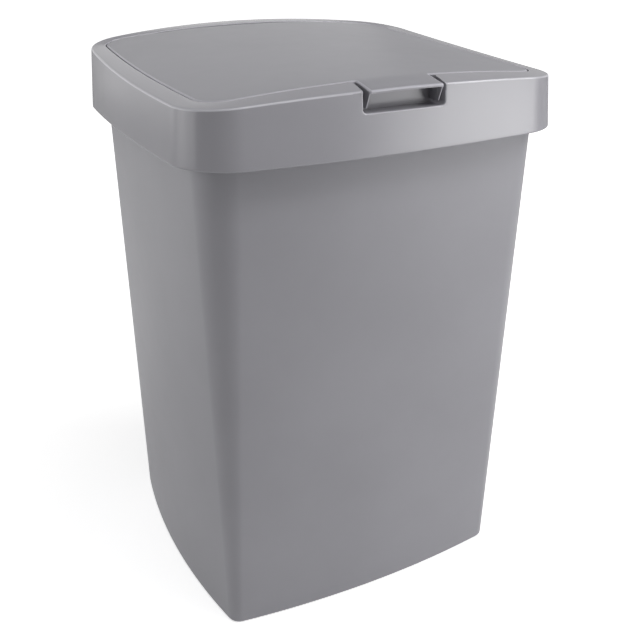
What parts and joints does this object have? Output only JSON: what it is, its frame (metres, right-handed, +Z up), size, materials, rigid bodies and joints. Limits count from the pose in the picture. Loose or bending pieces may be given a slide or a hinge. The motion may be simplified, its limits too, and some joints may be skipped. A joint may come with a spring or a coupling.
{
  "type": "push top bin",
  "caption": "Tall tapering bin with a rounded square plan, an overhanging lift-off collar and a crowned rear-hinged flap lid with a front lift tab over a finger pocket.",
  "frame": {"origin": "middle of the bounding box in plan, on the floor", "axes": "+Z up, front with the lift tab faces -Y, +X to the right seen from the front"},
  "size_m": [0.347, 0.33, 0.4967],
  "materials": {
    "body_plastic": "satin",
    "collar_plastic": "satin",
    "lid_plastic": "satin",
    "dark_plastic": "matt",
    "steel": "bright zinc",
    "magnet": "ferrite",
    "soft_pads": "matt"
  },
  "bodies": {
    "bin": {"bin_body": "body_plastic"},
    "frame": {"lid_frame": "collar_plastic", "hinge_pin_left": "steel", "hinge_pin_right": "steel", "latch_housing": "dark_plastic", "latch_stop_pin": "steel", "latch_spring": "steel", "latch_screws": "steel", "lid_bumpers": "soft_pads"},
    "flap": {"flap_lid": "lid_plastic", "strike_plate": "steel"},
    "plunger": {"latch_plunger": "collar_plastic", "latch_magnet": "magnet"}
  },
  "joints": [
    {"name": "frame_lift", "type": "slide", "parent": "bin", "child": "frame", "axis": [0, 0, 1], "range_m": [0, 0.12]},
    {"name": "lid_hinge", "type": "hinge", "parent": "frame", "child": "flap", "pos_m": [0, 0.129, 0.48661], "axis": [-1, 0, 0], "range_deg": [0, 95]},
    {"name": "plunger_slide", "type": "slide", "parent": "frame", "child": "plunger", "axis": [0, 0, 1], "range_m": [-0.0022, 0], "stiffness_N_per_m": 200, "springref_m": 0.013, "deforming": ["latch_spring"]}
  ]
}
